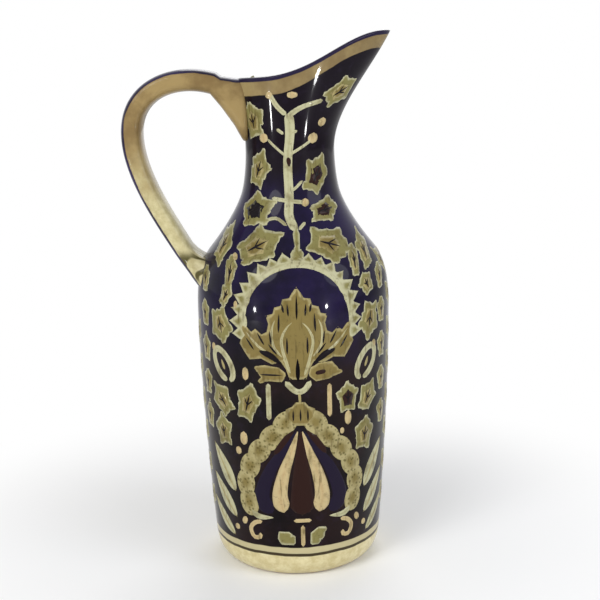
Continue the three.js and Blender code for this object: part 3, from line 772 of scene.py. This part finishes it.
flowers = new_piece("painted_flowers", np.vstack(slip_points), slip_faces, slip)
for name, values in slip_values.items():
    give_values(flowers, name, np.concatenate(values))
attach(flowers, "root")


# The wreath round the bulb and the arch's teeth: single dabs of the same thick slip, each laid half over
# the one before along a drawn line, so one brush mark repeats at an even pace round the curve.

LOBE_LONG, LOBE_WIDE, LOBE_PACE = 17, 12.4, 10.5
TOOTH_TALL, TOOTH_WIDE, TOOTH_PACE = 11, 8.5, 6.6
DAB_SIDES = 28
DAB_RINGS = ((0.3, 0.95), (0.6, 0.72), (0.82, 0.42), (0.95, 0.14), (1.0, -0.1))


def on_skin(row, turn, count=60):
    """Points on the vessel's skin along a smooth row given in millimetres round it and up it."""
    flat, _ = smooth_row(row, count)
    angle = turn - math.pi / 2 + flat[:, 0] / radius_at(np.minimum(flat[:, 1], THROAT_HEIGHT))
    return skin_point(angle, flat[:, 1])


def new_dab(name, x, y, tone):
    """One closed dab of slip with an outline round the origin, lying on its back."""
    across = np.repeat([share for share, _ in DAB_RINGS] + [1.0, 0.5], DAB_SIDES)
    rise = np.repeat([STROKE_LIFT * crown for _, crown in DAB_RINGS] + [-STROKE_ROOT] * 2, DAB_SIDES)
    turns = len(DAB_RINGS) + 2
    flat = np.stack([np.tile(x, turns) * across, np.tile(y, turns) * across, rise], -1)
    face_hub, root_hub = len(flat), len(flat) + 1
    flat = np.vstack([flat, (0, 0, STROKE_LIFT), (0, 0, -STROKE_ROOT)])
    faces = [face[::-1] for face in ring_faces(turns, DAB_SIDES)]
    last = (turns - 1) * DAB_SIDES
    for k in range(DAB_SIDES):
        after = (k + 1) % DAB_SIDES
        faces.append((face_hub, k, after))
        faces.append((root_hub, last + after, last + k))
    dab = new_piece(name, flat, faces, slip)
    give_values(dab, "rise", flat[:, 2] * MM + 0.00006 * flat[:, 0] / LOBE_LONG)
    give_values(dab, "across", np.append(across, (0, 0)))
    give_values(dab, "tone", np.full(len(flat), tone))
    return dab


def dabs_along_lines():
    """Node tree that lays one dab after another along lines on the vessel and presses them to its skin."""
    tree = bpy.data.node_groups.new("dabs_along_lines", "GeometryNodeTree")
    for label, kind in (
        ("Lines", "Geometry"), ("Dab", "Object"), ("Vessel", "Object"), ("Pace", "Float"), ("Least Size", "Float"),
        ("Greatest Size", "Float"), ("Slip", "Material"),
    ):
        tree.interface.new_socket(label, in_out="INPUT", socket_type="NodeSocket" + kind)
    tree.interface.new_socket("Dabs", in_out="OUTPUT", socket_type="NodeSocketGeometry")

    def put(kind, inputs=(), **settings):
        node = tree.nodes.new(kind)
        for key, value in settings.items():
            setattr(node, key, value)
        for key, value in dict(inputs).items():
            if isinstance(value, bpy.types.NodeSocket):
                tree.links.new(value, node.inputs[key])
            else:
                node.inputs[key].default_value = value
        return node.outputs

    given = put("NodeGroupInput")
    lines = put("GeometryNodeMeshToCurve", {0: given["Lines"]})["Curve"]
    even = put("GeometryNodeResampleCurve", {"Curve": lines, "Length": given["Pace"]}, mode="LENGTH")["Curve"]
    spot = put("GeometryNodeInputPosition")["Position"]
    level = put("ShaderNodeVectorMath", {0: spot, 1: (1, 1, 0)}, operation="MULTIPLY")[0]
    outwards = put("ShaderNodeVectorMath", {0: level}, operation="NORMALIZE")[0]
    onwards = put("GeometryNodeInputTangent")["Tangent"]
    turned = put("FunctionNodeAxesToRotation", {0: outwards, 1: onwards}, primary_axis="Z", secondary_axis="X")[0]
    size = put("FunctionNodeRandomValue", {"Min": given["Least Size"], "Max": given["Greatest Size"], "Seed": 5})
    dab = put("GeometryNodeObjectInfo", {"Object": given["Dab"]})["Geometry"]
    laid = put("GeometryNodeInstanceOnPoints", {"Points": even, "Instance": dab, "Rotation": turned, "Scale": size["Value"]})
    loose = put("GeometryNodeRealizeInstances", {0: laid[0]})[0]
    skin = put("GeometryNodeObjectInfo", {"Object": given["Vessel"]})["Geometry"]
    nearest = put("GeometryNodeProximity", {0: skin}, target_element="FACES")["Position"]
    rise = put("GeometryNodeInputNamedAttribute", {"Name": "rise"}, data_type="FLOAT")["Attribute"]
    lifted = put("ShaderNodeVectorMath", {0: outwards, "Scale": rise}, operation="SCALE")[0]
    pressed = put("ShaderNodeVectorMath", {0: nearest, 1: lifted}, operation="ADD")[0]
    pressed = put("GeometryNodeSetPosition", {"Geometry": loose, "Position": pressed})[0]
    glazed = put("GeometryNodeSetMaterial", {"Geometry": pressed, "Material": given["Slip"]})[0]
    put("NodeGroupOutput", {0: glazed})
    return tree


def lay_dabs(name, rows, dab, pace, least, greatest):
    """A piece made of dabs along rows of points, baked to a plain mesh."""
    spots = np.vstack(rows)
    piece = new_piece(name, spots, [], slip)
    count = len(rows[0])
    edges = [(i, i + 1) for i in range(len(spots) - 1) if (i + 1) % count]
    mesh = bpy.data.meshes.new(name)
    mesh.from_pydata((spots * MM).tolist(), edges, [])
    piece.data = mesh
    modifier = piece.modifiers.new("dabs", "NODES")
    modifier.node_group = dab_tree
    values = {"Dab": dab, "Vessel": vessel, "Pace": pace * MM, "Least Size": least, "Greatest Size": greatest, "Slip": slip}
    for socket in dab_tree.interface.items_tree:
        if socket.name in values:
            modifier[socket.identifier] = values[socket.name]
    baked = bpy.data.meshes.new_from_object(piece.evaluated_get(bpy.context.evaluated_depsgraph_get()))
    piece.modifiers.remove(modifier)
    piece.data = baked
    bpy.data.objects.remove(dab)
    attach(piece, "root")


round_dab = np.linspace(0, 2 * math.pi, DAB_SIDES, endpoint=False)
lobe = new_dab("lobe", LOBE_LONG / 2 * np.cos(round_dab), LOBE_WIDE / 2 * np.sin(round_dab), WREATH)
tooth_x = TOOTH_WIDE / 2 * np.sin(round_dab) * (1 - np.cos(round_dab)) / 1.3
tooth = new_dab("tooth", -tooth_x, TOOTH_TALL / 2 * np.cos(round_dab), STRAW)
dab_tree = dabs_along_lines()
wreath_rows = []
arch_rows = []
for turn in (0, math.pi):
    for side in (-1, 1):
        row = [(8, 95), (15, 87), (24, 77), (30.5, 66), (33, 55), (31, 46)]
        wreath_rows.append(on_skin([(2.5 + side * (s + (side > 0) * 0.5), z) for s, z in row], turn))
    sweep = np.linspace(-ARCH_SWEEP + 0.06, ARCH_SWEEP - 0.06, 25)
    arch = [(ARCH_MIDDLE[0] + 34.5 * math.sin(a), ARCH_MIDDLE[1] + 34.5 * math.cos(a)) for a in sweep]
    arch_rows.append(on_skin(arch, turn))
lay_dabs("wreath_lobes", wreath_rows, lobe, LOBE_PACE, 0.94, 1.06)
lay_dabs("arch_teeth", arch_rows, tooth, TOOTH_PACE, 0.7, 1.15)
